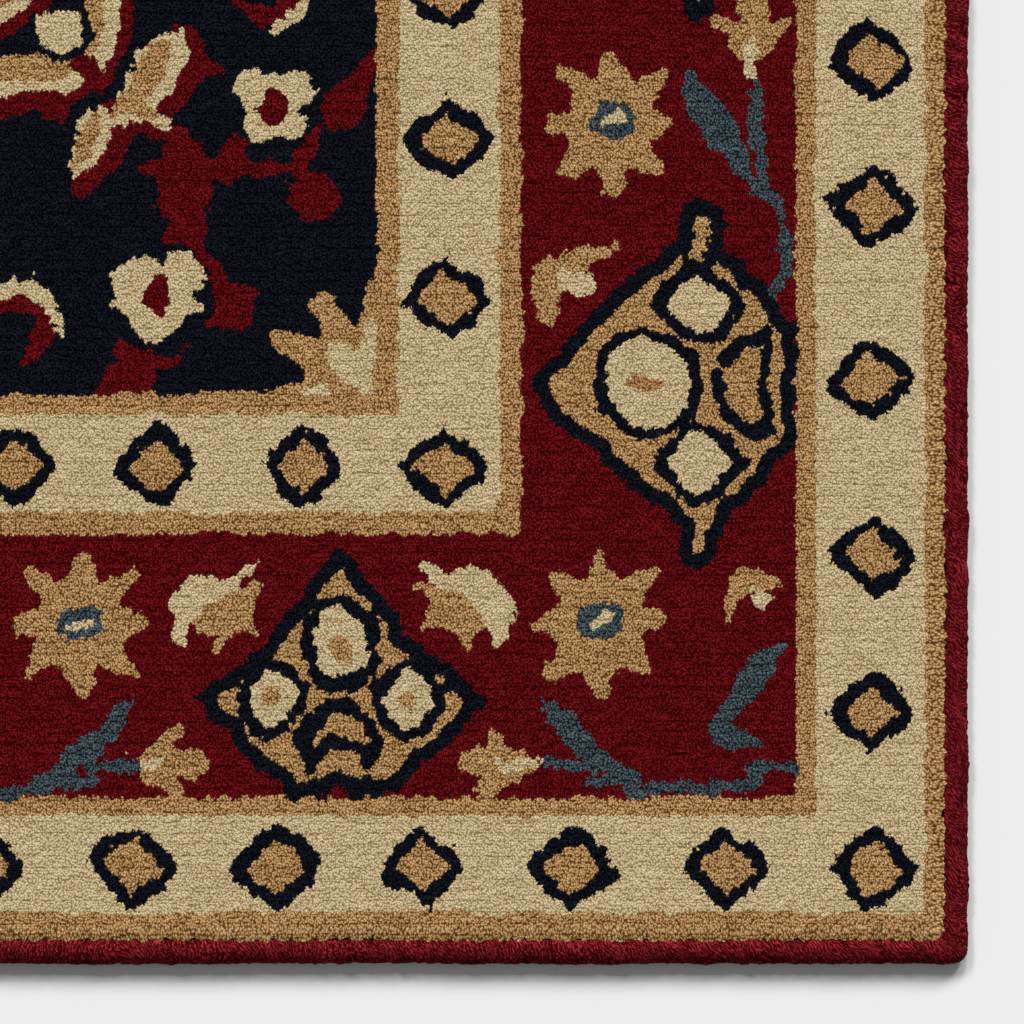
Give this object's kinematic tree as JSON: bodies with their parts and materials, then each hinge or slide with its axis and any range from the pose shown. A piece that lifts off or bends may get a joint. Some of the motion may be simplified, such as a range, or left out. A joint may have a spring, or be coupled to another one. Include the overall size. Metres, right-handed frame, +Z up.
{
  "type": "hand-knotted rug",
  "caption": "Flat rectangular wool pile rug with a dark patterned field, a red flowered main border between pale guard borders, and red yarn-bound edges.",
  "frame": {"origin": "on the floor under the middle of the rug", "axes": "+X across the width, +Y along the length, +Z up from the floor"},
  "size_m": [1.221, 1.7038, 0.01],
  "materials": {
    "pile": "clipped wool pile, knotted in navy, red, cream, tan and teal, matt with a soft sheen",
    "binding": "deep red wool yarn wrapped over the edge, matt and slightly fuzzy"
  },
  "bodies": {
    "root": {"rug_body": "pile", "binding_right": "binding", "binding_far": "binding", "binding_left": "binding", "binding_near": "binding"}
  },
  "joints": []
}
